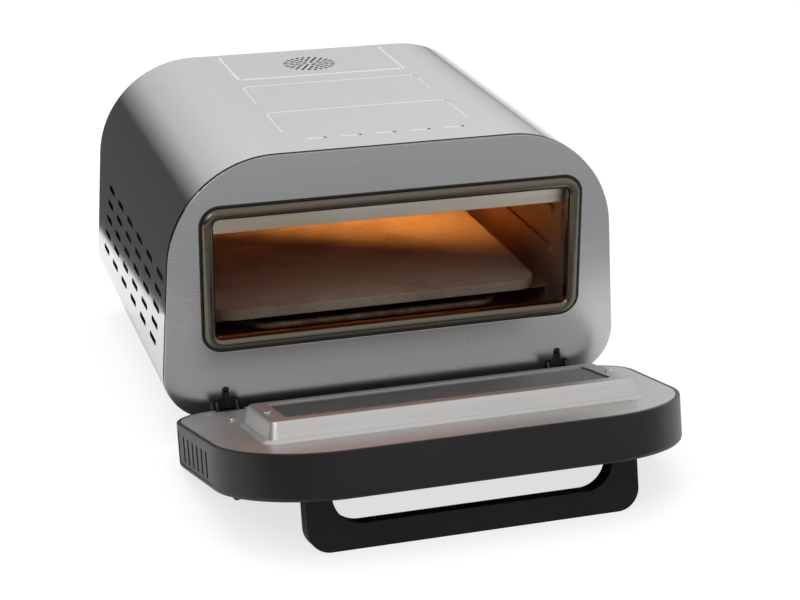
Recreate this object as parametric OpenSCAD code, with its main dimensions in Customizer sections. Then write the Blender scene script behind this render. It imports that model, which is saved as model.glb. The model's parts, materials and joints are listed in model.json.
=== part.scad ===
// Countertop electric pizza oven with a drop-down front door.
// Millimetres. +Z is up, the front faces -Y, and the worktop is z = 0.
// Casing pieces are drawn with the fascia's front face at y = 0 and the casing's underside at z = 0.
// Door pieces are drawn closed and then swung down to the open rest pose.

/* [Casing] */
// Width of the casing where its sides would meet the underside
body_w = 450; // [400:1:540]
// Depth of the casing, fascia to rear panel
body_d = 368; // [330:1:442]
// Height of the casing without its feet
body_h = 250; // [240:1:300]
// Radius of the two upper corners of the outline
top_r = 102; // [80:1:108]
// Radius of the two lower corners of the outline
low_r = 46; // [40:1:55]
// Lean of the side walls, in degrees
flare = 3.8; // [0:0.1:4.5]
// Sheet thickness of the wrap-around shell
shell_t = 1.2; // [0.8:0.1:1.5]
// Width of the dark seam between fascia and shell
seam_w = 1.4; // [1:0.1:2.5]
// Depth of the fascia's folded edge
fascia_edge = 3; // [2:0.1:5]

/* [Feet] */
// Height of the feet below the casing
foot_h = 24; // [22:0.5:30]
// Diameter of a foot at its top
foot_d = 34; // [26:1:38]
// Distance of the feet from the middle of the casing
foot_x = 130; // [110:1:134]
// Distance of the feet from the front and the rear of the casing
foot_inset = 42; // [36:1:60]

/* [Mouth] */
// Width of the hole in the fascia
mouth_w = 375; // [350:1:376]
// Height of the lower edge of the hole
mouth_low = 62.5; // [60:0.5:64]
// Height of the upper edge of the hole
mouth_high = 209; // [200:0.5:212]
// Corner radius of the hole
mouth_r = 22; // [18:0.5:26]
// Width of the dark gasket line round the ring
gasket_w = 4.5; // [3:0.5:6]
// Thickness of the rolled ring
ring_d = 11.5; // [9:0.5:12]
// How far the ring stands in front of the fascia
ring_proud = 4; // [3:0.1:4.4]

/* [Cavity] */
// Clear width between the side walls
cavity_w = 348; // [336:1:350]
// Height of the cavity floor
cavity_low = 46; // [40:1:50]
// Height of the cavity ceiling
cavity_high = 203; // [200:1:206]
// Inner rear wall, from the fascia
cavity_back = 345; // [300:1:346]
// Sheet thickness of the cavity liner
liner_t = 1; // [0.8:0.1:1.5]
// Top of the baking stone
stone_top = 85; // [82:0.5:88]
// Thickness of the baking stone
stone_t = 10; // [8:0.5:14]
// Width of the baking stone
stone_w = 326; // [300:1:330]
// Depth of the baking stone
stone_d = 286; // [240:1:290]
// Front edge of the stone, from the fascia
stone_front = 48; // [44:1:52]
// Lower edge of the ceiling baffle
baffle_low = 175; // [170:1:180]
// Front face of the ceiling baffle, from the fascia
baffle_y = 15; // [14.5:0.5:20]
// Diameter of the heating tubes
element_d = 6.5; // [6:0.5:8]
// Bend radius of the heating tubes
element_bend = 16; // [12:1:20]
// Distance from ceiling or floor to the middle of a heating tube
element_drop = 15; // [13:0.5:18]

/* [Door] */
// Thickness of the door
door_t = 41; // [36:0.5:43]
// Gap between the fascia and the closed door's inner panel
door_gap = 5.3; // [5:0.1:6]
// Wall of the moulded door shell
door_wall = 2.5; // [2:0.1:3.5]
// Radius of the door's lower outer edge
door_foot_r = 45; // [44:0.5:48]
// How far down the door swings, in degrees
open_angle = 76; // [70:1:78]
// Distance of the hinge pins in front of the fascia
hinge_y = 15; // [14:0.5:16]
// Height of the hinge pins above the casing's underside
hinge_z = 4; // [3:0.5:5]
// Distance of the hinges from the middle
hinge_x = 164.5; // [160:0.5:168]
// Diameter of the hinge pins
pin_d = 5; // [4:0.1:5.5]
// Running clearance of the door's knuckles on the pins, on the radius
pin_play = 0.06; // [0.03:0.01:0.1]
// Width of a door knuckle
knuckle_w = 6; // [5:0.5:7]
// Inside distance between the two ears of a receiver
ear_gap = 17; // [15:0.5:18]
// Wire diameter of the hinge springs
spring_wire = 0.8; // [0.6:0.1:1]

/* [Door frame and glass] */
// Width of the raised frame at its foot
frame_w = 340; // [320:1:341]
// Height of the frame's lower wall on the door
frame_low = 81; // [80:0.5:90]
// Height of the frame's upper wall on the door
frame_high = 187; // [180:0.5:188]
// How far the frame stands out of the panel
frame_h = 18; // [12:0.5:18]
// Width of the frame's flat rim
frame_rim = 15; // [12:0.5:24]
// Thickness of the door's glass panes
glass_t = 4; // [3:0.5:5]

/* [Handle] */
// Width of the handle over its legs
handle_w = 298; // [260:1:310]
// Height of the handle's upper side on the closed door
handle_top = 217; // [205:0.5:222]
// Width of the bar up the door
handle_bar = 19; // [15:0.5:24]
// Thickness of the bar, away from the door
handle_bar_t = 20.5; // [14:0.5:24]
// Width of a leg
handle_leg = 23; // [18:0.5:30]

/* [Knobs] */
// Diameter of a knob's skirt
knob_d = 36; // [30:0.5:38]
// Height of a knob on the door
knob_h = 15; // [11:0.5:17]
// Distance of the knobs from the middle
knob_x = 186; // [182:0.5:188]
// Height of the knobs on the closed door
knob_z = 118; // [112:1:135]
// Diameter of a knob's shaft
shaft_d = 6; // [5:0.1:7]

/* [Vents] */
// Length of a slot in the casing's side
slot_l = 30; // [24:0.5:32]
// Height of a slot in the casing's side
slot_h = 6; // [4:0.5:8]
// Distance between the slot rows
slot_row = 18; // [14:0.5:20]
// Distance between the slot columns
slot_col = 51.5; // [44:0.5:54]
// Height of the lowest slot row
slot_low = 64; // [60:1:70]
// Lean of the slot columns, mm of depth per row
slot_lean = 6; // [0:0.5:10]
// Diameter of the round vent in the top
grille_d = 56; // [40:1:60]

/* [Hidden] */
$fn = 96;

over = 1;                                   // how far a cutting shape runs past what it cuts
fit = 0.2;                                  // gap between pieces that are laid into each other

// casing outline: centres of the corner circles
low_cx = body_w / 2 - low_r * tan(flare) - low_r / cos(flare);
top_cz = body_h - top_r;
top_cx = body_w / 2 - top_cz * tan(flare) - top_r / cos(flare);

fascia_t = 1.2;
shell_front = fascia_edge + seam_w;
rear_t = 1.2;
rear_y = body_d - rear_t;
base_z = shell_t;
base_t = 1.2;
flange_w = 22;                              // folded-in edge of the shell under the base plate
rear_flange = 14;                           // folded-in edge of the shell in front of the rear panel
function side_x(z) = body_w / 2 - z * tan(flare); // the outline's straight side at height z
rear_screws_at = [
    [side_x(120) - rear_flange / 2, 120], [low_cx - 26, rear_flange / 2],
    [top_cx - 46, body_h - rear_flange / 2],
];
foot_screw_d = 4;
foot_recess = 5;                            // from the casing's underside to the screw head in a foot
dent_y = 41;
grille_y = body_d - 60;
side_rows = 5;
side_first = 55.5;                          // first slot column of the lowest row, from the fascia
side_last = 40;                             // clear sheet behind the last slot column, at least
side_columns = 1 + floor((body_d - side_first - side_last) / slot_col);

ring_w = mouth_w - 2 * gasket_w;            // over the rolled ring
ring_low = mouth_low + gasket_w;
ring_high = mouth_high - gasket_w;
ring_r = mouth_r - gasket_w;
ring_cy = ring_d / 2 - ring_proud;
flange_y = 7;                               // front of the liner's flange, behind ring and gasket
rail_y = [flange_y + liner_t, flange_y + 9]; // the two vertical ribs of a front rail
rail_x = 3;
liner_r = 12;
liner_lap = 3;                              // how far the liner's flange reaches past the mouth
bead_rows = [115, 156];                     // heights of the side walls' guide beads
bead_h = 9;
bead_x = 2;
stone_low = stone_top - stone_t;
carrier_t = 1.2;
element_x = 122;
element_front = 62;
element_side = element_x - 88;
element_turn = cavity_back - 48;
element_end = cavity_back + 12;
element_up = cavity_high - element_drop;
element_down = cavity_low + element_drop;
probe_x = 0;
probe_z = element_up - 6;
probe_d = 5;
wool_inset = 16;
wool_play = 0.3;
wool_front = 22;
wool_back = body_d - 9;

// door: depths n are measured outwards from the inner panel's face
door_inset = 1;
panel_inset = 5;
panel_t = 1.2;
ledge_inset = 9;
ledge_t = 2;
door_out = door_gap + door_t;               // distance of the outer face in front of the fascia
door_edge_r = 4;                            // rounding of the rim, towards the outer face
foot_cn = door_t - door_foot_r;             // centre of the lower edge's radius
foot_cz = door_inset + door_foot_r;
notch_w = 28;
notch_z = 14;
notch_n = 19;
ear_t = 2;
ear_r = 6;
knuckle_r = 5;
leaf_w = 27;
leaf_t = 2;
leaf_top = 66;
frame_draft = 6;
frame_r = 11;
rim_r = 5;
rim_x = frame_w / 2 - frame_draft - frame_rim;
rim_low = frame_low + frame_draft / 2 + frame_rim;
rim_high = frame_high - frame_draft / 2 - frame_rim;
frame_screw_x = frame_w / 2 - frame_draft - frame_rim / 2 + 1.5;
frame_screw_z = (frame_low + frame_high) / 2 + 6;
glass_lap = 4;                              // glass behind the rim
glass_top = frame_h - panel_t;
window_x = 120;
window_low = 98;
window_high = 172;
window_lap = 8;

// handle: its outer face lies flat on the worktop when the door is down
rest_gap = 0.3;
function handle_out(z) = // distance from the fascia at which the handle just clears the worktop
    hinge_y + (hinge_z + foot_h - rest_gap + (z - hinge_z) * cos(open_angle)) / sin(open_angle);
handle_low = handle_top - handle_bar;
handle_in = handle_out(handle_top) - handle_bar_t;

gland_x = -150;
gland_z = 42;
gland_proud = 5;
vent_low = 44;
vent_high = 156;
vent_n = [6, door_t - door_edge_r - 1];
vent_pitch = 15;
knob_gap = 0.6;
control_w = 28;
control_h = 22;

spring_turns = 3;
spring_side = 6;
spring_steps = 12;
spring_r = pin_d / 2 + 0.45 + spring_wire / 2;
spring_room = (ear_gap - knuckle_w) / 2 - 0.8;
spring_pitch = (spring_room - spring_wire) / spring_turns;

// the row's origin lies under the middle of the whole box, with the door down
front_reach = hinge_y + (body_h - door_inset - fit / 2 - door_edge_r - hinge_z) * sin(open_angle)
    + (door_out - door_edge_r - hinge_y) * cos(open_angle) + door_edge_r;
origin_y = (front_reach - body_d - gland_proud) / 2;

// ---------------------------------------------------------------- helpers

module casing() translate([0, origin_y, foot_h]) children();

module door() casing() translate([0, -hinge_y, hinge_z]) rotate([open_angle, 0, 0])
    translate([0, hinge_y, -hinge_z]) children();

// an upright x-z outline, extruded from depth y0 to y1
module along_y(y0, y1) translate([0, y1, 0]) rotate([90, 0, 0]) linear_extrude(y1 - y0) children();

// an x-z outline on the door, from depth n0 to n1 outwards
module slab(n0, n1) along_y(-door_gap - n1, -door_gap - n0) children();

// a y-z outline, extruded over width w about x
module across(x, w) translate([x - w / 2, 0, 0]) rotate([90, 0, 90]) linear_extrude(w) children();

module both_sides() for (side = [-1, 1]) scale([side, 1, 1]) children();

// the outline shared by casing and door
module arch(inset = 0) {
    low = low_r - inset;
    top = top_r - inset;
    right = [
        [low_cx, inset], [low_cx + low * cos(flare), low_r + low * sin(flare)],
        [top_cx + top * cos(flare), top_cz + top * sin(flare)], [top_cx, body_h - inset],
    ];
    polygon(concat(right, [for (i = [3:-1:0]) [-right[i][0], right[i][1]]]));
    for (side = [-1, 1]) {
        translate([side * low_cx, low_r]) circle(low);
        translate([side * top_cx, top_cz]) circle(top);
    }
}

// a rectangle with round corners
module rounded(x0, z0, x1, z1, r) {
    polygon([
        [x0 + r, z0], [x1 - r, z0], [x1, z0 + r], [x1, z1 - r],
        [x1 - r, z1], [x0 + r, z1], [x0, z1 - r], [x0, z0 + r],
    ]);
    for (x = [x0 + r, x1 - r], z = [z0 + r, z1 - r]) translate([x, z]) circle(r);
}

// a slot with round ends, in the x-y plane, lying along x
module slot(l, w) {
    square([l - w, w], center = true);
    for (side = [-1, 1]) translate([side * (l - w) / 2, 0]) circle(d = w);
}

// a round tube in the x-y plane along straight runs with quarter bends
module bent_tube(points, bend, d) {
    last = len(points) - 1;
    for (i = [0:last - 1]) {
        u = (points[i + 1] - points[i]) / norm(points[i + 1] - points[i]);
        from = points[i] + (i > 0 ? bend : 0) * u;
        to = points[i + 1] - (i < last - 1 ? bend : 0) * u;
        translate([from[0], from[1], 0]) rotate([0, 90, atan2(u[1], u[0])])
            cylinder(h = norm(to - from), d = d);
    }
    for (i = [1:last - 1]) {
        u = (points[i] - points[i - 1]) / norm(points[i] - points[i - 1]);
        v = (points[i + 1] - points[i]) / norm(points[i + 1] - points[i]);
        centre = points[i] + bend * (v - u);
        start = u[0] * v[1] - u[1] * v[0] > 0 ? atan2(-v[1], -v[0]) : atan2(u[1], u[0]);
        translate([centre[0], centre[1], 0]) rotate([0, 0, start])
            rotate_extrude(angle = 90) translate([bend, 0]) circle(d = d);
    }
}

// a pan-head screw, head up, its head seated on z = 0
module screw(head_d = 7, head_h = 2, shank_d = 3.5, shank_l = 8) {
    cylinder(h = head_h, d = head_d);
    translate([0, 0, -shank_l]) cylinder(h = shank_l + head_h / 2, d = shank_d);
}

// ---------------------------------------------------------------- casing

module outer_shell() casing() color("gainsboro") difference() {
    union() {
        along_y(shell_front, rear_y) difference() {
            arch();
            arch(shell_t);
        }
        along_y(rear_y - shell_t, rear_y) difference() {
            arch(shell_t / 2);
            arch(rear_flange);
        }
    }
    rear_screw_places() rotate([-90, 0, 0]) cylinder(h = 4 * over, d = 3.7, center = true);
    translate([-low_cx + flange_w, 0, -over]) cube([2 * (low_cx - flange_w), body_d, base_z + 2 * over]);
    side_slots();
    top_dents();
    top_grille();
    top_grooves();
}

module side_slots() both_sides() for (row = [0:side_rows - 1], column = [0:side_columns - 1])
    translate([body_w / 2 - 45, side_first + column * slot_col - row * slot_lean, slot_low + row * slot_row])
        rotate([0, 90, 0]) rotate(90) linear_extrude(60) slot(slot_l, slot_h);

// a row of pressed dents, each pierced at its right end
module top_dents() {
    pitch = 33.5;
    length = 20;
    width = 3.8;
    for (i = [-2:2]) translate([i * pitch + 3, dent_y, body_h]) {
        translate([0, 0, -shell_t / 2]) linear_extrude(shell_t) slot(length, width);
        translate([(length - width) / 2, 0, -2 * shell_t]) cylinder(h = 4 * shell_t, d = 2.8);
    }
}

module top_grille() {
    ring = grille_d / 9;
    translate([0, grille_y, body_h - 2 * shell_t]) linear_extrude(4 * shell_t)
        for (k = [1:4], i = [0:6 * k - 1]) rotate(i * 60 / k) translate([ring * k, 0]) slot(4.4, 2);
}

// shallow lines pressed into the top: one field open to the rear and two open to the front
module top_grooves() translate([0, 0, body_h - shell_t / 2]) linear_extrude(shell_t) {
    pressed_line(-87, 92, body_d - 107, body_d - 12, 6, 3);
    pressed_line(-90, 93, 235, 172, 9, 1.6);
    pressed_line(-90, 94, 136, 68, 9, 1.6);
}

// a line that crosses at depth y and turns to the ends at y_end
module pressed_line(x0, x1, y, y_end, r, w) {
    open = y_end > y ? y_end + r : y_end - r;
    low = min(y, open);
    high = max(y, open);
    difference() {
        rounded(x0, low, x1, high, r);
        rounded(x0 + w, low + w, x1 - w, high - w, r - w);
        translate([x0 - over, y_end > y ? y_end : open - over]) square([x1 - x0 + 2 * over, r + over]);
    }
}

module front_fascia() casing() color("silver") difference() {
    union() {
        along_y(0, fascia_t) arch(0.4);
        along_y(fascia_t, fascia_edge) difference() {
            arch(0.4);
            arch(0.4 + fascia_t);
        }
    }
    along_y(-over, fascia_t + over) mouth_outline(0);
    both_sides() along_y(-over, fascia_t + over) hinge_slot();
}

module mouth_outline(inset) rounded(
    -mouth_w / 2 + inset, mouth_low + inset, mouth_w / 2 - inset, mouth_high - inset, mouth_r - inset);

// the T-shaped hole that a hinge reaches through
module hinge_slot() {
    rounded(hinge_x - 11.5, 5, hinge_x + 11.5, 18.6, 2.5);
    translate([hinge_x - 3.25, 12]) square([6.5, 14.8]);
    translate([hinge_x, 26.8]) circle(3.25);
}

// the dark strip that shows in the seam between fascia and shell
module seam_trim() casing() color("#161616") along_y(fascia_t, 14) difference() {
    arch(0.4 + fascia_t + fit);
    arch(6);
}

module mouth_gasket() casing() color("#141414") along_y(0.5, flange_y) difference() {
    mouth_outline(0.1);
    mouth_outline(gasket_w - 0.1);
}

module mouth_ring() casing() color("#8f8c80") {
    x = (ring_w - ring_d) / 2;
    low = ring_low + ring_d / 2;
    high = ring_high - ring_d / 2;
    loop = [[0, low], [x, low], [x, high], [-x, high], [-x, low], [0, low]];
    difference() {
        translate([0, ring_cy, 0]) rotate([90, 0, 0]) bent_tube(loop, ring_r - ring_d / 2, ring_d);
        along_y(ring_cy, ring_d)
            rounded(-ring_w / 2 - over, ring_low - over, ring_w / 2 + over, ring_high + over, 5);
    }
    along_y(ring_cy, flange_y) difference() {
        mouth_outline(gasket_w);
        mouth_outline(gasket_w + ring_d);
    }
}

module liner_outline(grow) rounded(
    -cavity_w / 2 - grow, cavity_low - grow, cavity_w / 2 + grow, cavity_high + grow, liner_r + grow);

module cavity_liner() casing() color("#6b5a48") {
    difference() {
        union() {
            along_y(flange_y, cavity_back + liner_t) liner_outline(liner_t);
            along_y(flange_y, flange_y + liner_t) rounded(-mouth_w / 2 - liner_lap, cavity_low - liner_lap,
                mouth_w / 2 + liner_lap, mouth_high + liner_lap, mouth_r);
        }
        along_y(flange_y - over, cavity_back) liner_outline(0);
        for (x = [-element_side, element_side], z = [element_up, element_down])
            translate([x, cavity_back - over, z]) rotate([-90, 0, 0])
                cylinder(h = 3 * over, d = element_d + 2 * fit);
        translate([probe_x, cavity_back - over, probe_z]) rotate([-90, 0, 0])
            cylinder(h = 3 * over, d = probe_d + 2 * fit);
    }
    both_sides() {
        for (y = rail_y) translate([cavity_w / 2 - rail_x, y, ring_low + ring_d]) cube([rail_x, 1.2, 108]);
        for (z = bead_rows) translate([cavity_w / 2 - bead_x, 0, z]) rotate([0, 90, 0]) rotate(90)
            linear_extrude(bead_x) translate([cavity_back / 2 + 6, 0]) slot(cavity_back - 76, bead_h);
    }
}

module liner_rivets() casing() color("#b8ab98") both_sides()
    for (z = [ring_low + ring_d + 16, ring_low + ring_d + 92])
        translate([cavity_w / 2, (rail_y[0] + rail_y[1] + 1.2) / 2, z]) rotate([0, -90, 0])
            cylinder(h = 1.6, d = 4);

module ceiling_baffle() casing() color("#cfc6ba") {
    width = cavity_w - 2 * liner_r;
    lip = 12;
    translate([-width / 2, baffle_y, baffle_low]) cube([width, 1.2, cavity_high - baffle_low]);
    translate([-width / 2, baffle_y, baffle_low]) cube([width, lip, 1.2]);
}

// a rectangular heating loop whose two ends leave through the rear wall
module heating_loop(z) translate([0, 0, z]) bent_tube([
    [-element_side, element_end], [-element_side, element_turn], [-element_x, element_turn],
    [-element_x, element_front], [element_x, element_front], [element_x, element_turn],
    [element_side, element_turn], [element_side, element_end],
], element_bend, element_d);

module upper_element() casing() color("#7a4a30") heating_loop(element_up);

module lower_element() casing() color("#5a4438") heating_loop(element_down);

module element_brackets() casing() color("#9a938a") {
    w = element_d + 8;
    reach = element_drop + element_d / 2 + 3;
    for (x = [-element_x, element_x], y = [120, 240]) {
        difference() {
            translate([x - w / 2, y, cavity_high - reach]) cube([w, 1.5, reach]);
            translate([x, y - over, element_up]) rotate([-90, 0, 0]) cylinder(h = 4, d = element_d + 2 * fit);
        }
        difference() {
            translate([x - w / 2, y, cavity_low]) cube([w, 1.5, reach]);
            translate([x, y - over, element_down]) rotate([-90, 0, 0])
                cylinder(h = 4, d = element_d + 2 * fit);
        }
    }
}

module stone_outline(grow) rounded(
    -stone_w / 2 - grow, stone_front - grow, stone_w / 2 + grow, stone_front + stone_d + grow, 22);

module pizza_stone() casing() color("#b59a78") translate([0, 0, stone_low])
    linear_extrude(stone_t) stone_outline(0);

// a flat frame under the stone that rests on two rails on the cavity's side walls
module stone_carrier() casing() color("#7d776e") {
    rail_h = 10;
    translate([0, 0, stone_low - carrier_t]) linear_extrude(carrier_t) difference() {
        translate([-cavity_w / 2, stone_front + 6]) square([cavity_w, stone_d - 12]);
        stone_outline(-18);
    }
    both_sides() translate([cavity_w / 2 - carrier_t, stone_front + 6, stone_low - carrier_t - rail_h])
        cube([carrier_t, stone_d - 12, rail_h]);
}

module insulation() casing() color("#e8e2c8") difference() {
    along_y(wool_front, wool_back) difference() {
        arch(wool_inset);
        translate([-body_w / 2, 0]) square([body_w, cavity_low - liner_t]);
    }
    along_y(wool_front - over, cavity_back + liner_t + wool_play) liner_outline(liner_t + wool_play);
    for (x = [-element_side, element_side], z = [element_up, element_down])
        translate([x, cavity_back, z]) rotate([-90, 0, 0]) cylinder(h = body_d, d = element_d + 2);
    translate([probe_x, cavity_back, probe_z]) rotate([-90, 0, 0]) cylinder(h = body_d, d = probe_d + 2);
}

module temperature_probe() casing() color("#b08d57")
    translate([probe_x, cavity_back - 45, probe_z]) rotate([-90, 0, 0]) cylinder(h = 58, d = probe_d);

module terminal_block() casing() color("ivory") difference() {
    translate([-110, body_d - 70, base_z + base_t]) cube([54, 20, 18]);
    for (i = [0:3]) translate([-102 + i * 12.6, body_d - 60, base_z + base_t + 8]) cylinder(h = 12, d = 6);
}

module base_plate() casing() color("darkgray") difference() {
    translate([-low_cx + 2, shell_front + 10, base_z])
        cube([2 * low_cx - 4, rear_y - shell_front - 12, base_t]);
    for (x = [-90:18:90], y = [-60, 0, 60])
        translate([x, body_d / 2 + y, base_z - over]) linear_extrude(base_t + 2 * over)
            rotate(90) slot(34, 5);
    foot_places() translate([0, 0, base_z - over])
        cylinder(h = base_t + 2 * over, d = foot_screw_d + 2 * fit);
}

module foot_places() for (x = [-foot_x, foot_x], y = [foot_inset, body_d - foot_inset])
    translate([x, y, 0]) children();

module feet() casing() color("#1c1c1c") foot_places() difference() {
    rotate_extrude() polygon([
        [0, -foot_h], [foot_d / 2 - 5, -foot_h], [foot_d / 2 - 3, -foot_h + 2], [foot_d / 2, -2],
        [foot_d / 2, base_z], [0, base_z],
    ]);
    translate([0, 0, -foot_h - over]) cylinder(h = foot_h - foot_recess + over, d = 9);
    translate([0, 0, -foot_recess - over])
        cylinder(h = foot_recess + base_z + 2 * over, d = foot_screw_d + 2 * fit);
}

module foot_screws() casing() color("silver") foot_places() {
    translate([0, 0, -foot_recess - 2.5]) cylinder(h = 2.5, d = 7.5);
    translate([0, 0, -foot_recess - 1]) cylinder(h = foot_recess + base_z + base_t + 4, d = foot_screw_d);
}

module rear_panel() casing() color("darkgray") difference() {
    along_y(rear_y, body_d) arch(0.4);
    for (z = [70:14:112], x = [-100:50:100])
        translate([x, rear_y - over, z]) rotate([-90, 0, 0]) linear_extrude(rear_t + 2 * over) slot(36, 5);
    translate([gland_x, rear_y - over, gland_z]) rotate([-90, 0, 0]) cylinder(h = rear_t + 2 * over, d = 16);
    rear_screw_places() rotate([-90, 0, 0]) cylinder(h = 4 * over, d = 4, center = true);
}

module rear_screw_places() both_sides() for (p = rear_screws_at) translate([p[0], rear_y, p[1]]) children();

module rear_screws() casing() color("dimgray")
    rear_screw_places() translate([0, rear_t, 0]) rotate([-90, 0, 0]) screw(shank_l = 7);

module cable_gland() casing() color("#181818") translate([gland_x, body_d, gland_z]) rotate([-90, 0, 0])
    difference() {
        union() {
            cylinder(h = gland_proud, d = 22);
            translate([0, 0, -8]) cylinder(h = 9, d = 15.6);
            translate([0, 0, -rear_t - 4]) cylinder(h = 4, d = 21);
        }
        translate([0, 0, -15]) cylinder(h = 30, d = 8);
    }

// ---------------------------------------------------------------- hinges

// two ears that reach out of the fascia's slot, on a plate behind the fascia
module hinge_receiver() casing() color("#1e1e1e") {
    plate_y = fascia_t + 2;
    difference() {
        translate([hinge_x - 15, fascia_t, 8]) cube([30, 2, 26]);
        translate([hinge_x, fascia_t - over, 25]) rotate([-90, 0, 0]) cylinder(h = 4, d = 3);
    }
    for (side = [-1, 1]) across(hinge_x + side * (ear_gap + ear_t) / 2, ear_t) difference() {
        union() {
            polygon([
                [plate_y, 8], [plate_y, 17], [-2, 17], [-4.5, 12.5], [-hinge_y, hinge_z + ear_r],
                [-hinge_y, hinge_z - ear_r], [-hinge_y + ear_r, hinge_z - ear_r + 1.5],
            ]);
            translate([-hinge_y, hinge_z]) circle(ear_r);
        }
        translate([-hinge_y, hinge_z]) circle(d = pin_d + 0.04);
    }
}

module hinge_pin() casing() color("silver") translate([hinge_x, -hinge_y, hinge_z]) rotate([0, 90, 0]) {
    reach = ear_gap / 2 + ear_t;
    translate([0, 0, -reach - 1]) cylinder(h = 2 * reach + 2, d = pin_d);
    translate([0, 0, reach]) cylinder(h = 1.4, d = pin_d + 3);
}

function spring_point(i) = let (a = 360 * i / spring_steps)
    [spring_r * cos(a), spring_r * sin(a), spring_pitch * i / spring_steps];
// least distance between one turn and the next, less the wire
spring_gap = min([for (i = [0:spring_steps], j = [spring_steps - 2:spring_steps + 2])
    norm(spring_point(i + j) - spring_point(i)) - spring_wire]);
echo(spring_gap = spring_gap);

// one coil of round wire about z, swept along a helix
module coil() {
    count = spring_turns * spring_steps;
    rings = [for (i = [0:count]) let (a = 360 * i / spring_steps, c = spring_point(i))
        [for (k = [0:spring_side - 1]) let (b = 360 * k / spring_side)
            c + spring_wire / 2 * [cos(b) * cos(a), cos(b) * sin(a), sin(b)]]];
    points = [for (ring = rings, p = ring) p];
    side = [for (i = [0:count - 1], k = [0:spring_side - 1])
        let (a = i * spring_side + k, b = i * spring_side + (k + 1) % spring_side)
            each [[a, b, b + spring_side], [a, b + spring_side, a + spring_side]]];
    first = [for (k = [1:spring_side - 2]) [0, k + 1, k]];
    end = count * spring_side;
    last = [for (k = [1:spring_side - 2]) [end, end + k, end + k + 1]];
    polyhedron(points, concat(side, first, last));
}

module hinge_spring() casing() color("#c8c8c8") translate([hinge_x, -hinge_y, hinge_z]) rotate([0, 90, 0])
    for (side = [0, 1]) mirror([0, 0, side]) translate([0, 0, knuckle_w / 2 + 0.4 + spring_wire / 2]) coil();

// the door's half of a hinge: a knuckle on the pin, a neck and a plate behind the inner panel
module hinge_leaf() door() color("#3a3a3a") difference() {
    union() {
        slab(panel_t, panel_t + leaf_t)
            rounded(hinge_x - leaf_w / 2, notch_z + 2, hinge_x + leaf_w / 2, leaf_top, 3);
        across(hinge_x, knuckle_w) {
            translate([-hinge_y, hinge_z]) circle(knuckle_r);
            polygon([
                [-door_gap - panel_t, notch_z + 8], [-door_gap - panel_t - leaf_t, notch_z + 10],
                [-hinge_y - knuckle_r, hinge_z + 2], [-hinge_y + knuckle_r * 0.6, hinge_z],
                [-door_gap - panel_t - 0.5, notch_z - 2],
            ]);
        }
    }
    translate([hinge_x, -hinge_y, hinge_z]) rotate([0, 90, 0])
        cylinder(h = knuckle_w + 2, d = pin_d + 2 * pin_play, center = true);
    leaf_screw_places() translate([0, 0, -8]) cylinder(h = 16, d = 3.9);
}

// screw places on the inner panel, each with z pointing out of the panel
module leaf_screw_places() for (x = [-8.5, 8.5])
    translate([hinge_x + x, -door_gap, 58]) rotate([-90, 0, 0]) children();

// ---------------------------------------------------------------- door

// what the rounded lower outer edge takes away from a door piece that is set in by d
module foot_cut(d) across(0, body_w + 20) difference() {
    translate([-door_out - over, -over]) square([door_t + over + 12, foot_cz + over]);
    translate([-door_gap - foot_cn, foot_cz]) circle(door_foot_r - d);
}

// the door's full outline, rolled over into the outer face; the lower edge has its own radius
module door_block() {
    slab(0, door_t - door_edge_r) arch(door_inset);
    hull() for (a = [-20, 0, 30, 60, 90])
        let (n = door_t - door_edge_r * (1 - sin(a)), round = door_edge_r * (1 - cos(max(a, 0))))
            slab(n - 0.01, n) arch(door_inset + fit / 2 + round);
}

module door_shell() door() color("#262626") difference() {
    door_block();
    foot_cut(0);
    slab(-over, panel_t) arch(panel_inset - fit);
    slab(panel_t - 0.1, panel_t + ledge_t) arch(ledge_inset);
    difference() {
        slab(panel_t + ledge_t - 0.1, door_t - door_wall) arch(door_inset + door_wall);
        foot_cut(door_wall);
    }
    both_sides() {
        hinge_notch(0);
        slab(door_t - door_wall - over, door_t + over) translate([knob_x, knob_z]) circle(d = shaft_d + 1);
        vent_opening(0);
        slab(door_t - door_wall - over, door_t + over) handle_screw_spots() circle(d = 4.4);
    }
    slab(door_t - door_wall - over, door_t + over) rounded(-window_x + window_lap,
        window_low + window_lap, window_x - window_lap, window_high - window_lap, 8);
    slab(door_t - 1.6, door_t + over)
        rounded(-window_x - fit, window_low - fit, window_x + fit, window_high + fit, 12);
}

// room for the receiver's ears at the door's lower edge
module hinge_notch(grow) translate([hinge_x - notch_w / 2 - grow, -door_gap - notch_n, -3])
    cube([notch_w + 2 * grow, notch_n + door_gap, notch_z + 3 + grow]);

// the hole in the door's side wall for a vent cover
module vent_opening(shrink) across(body_w / 2 - 10, 40) rounded(
    -door_gap - vent_n[1] + shrink, vent_low + shrink, -door_gap - vent_n[0] - shrink, vent_high - shrink, 3);

module vent_cover() door() color("#2e2e2e") difference() {
    intersection() {
        vent_opening(fit);
        slab(0, door_t) difference() {
            arch(door_inset + 0.6);
            arch(door_inset + door_wall);
        }
    }
    slots = floor((vent_high - vent_low - 8) / vent_pitch);
    first = (vent_low + vent_high - (slots - 1) * vent_pitch) / 2;
    for (i = [0:slots - 1])
        translate([body_w / 2 - 30, -door_gap - (vent_n[0] + vent_n[1]) / 2, first + i * vent_pitch])
            rotate([0, 90, 0]) rotate(90) linear_extrude(40) slot(vent_n[1] - vent_n[0] - 6, 4.4);
}

// the raised frame's outline on the panel, grown outwards
module frame_outline(grow) rounded(
    -frame_w / 2 - grow, frame_low - grow, frame_w / 2 + grow, frame_high + grow, frame_r + grow);

// a solid between outlines of the raised frame; each level is its height and its growth
module frame_form(levels) hull() for (level = levels)
    translate([0, -door_gap + level[0], 0]) rotate([90, 0, 0])
        linear_extrude(0.01) frame_outline(level[1], $fn = 48);

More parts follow.
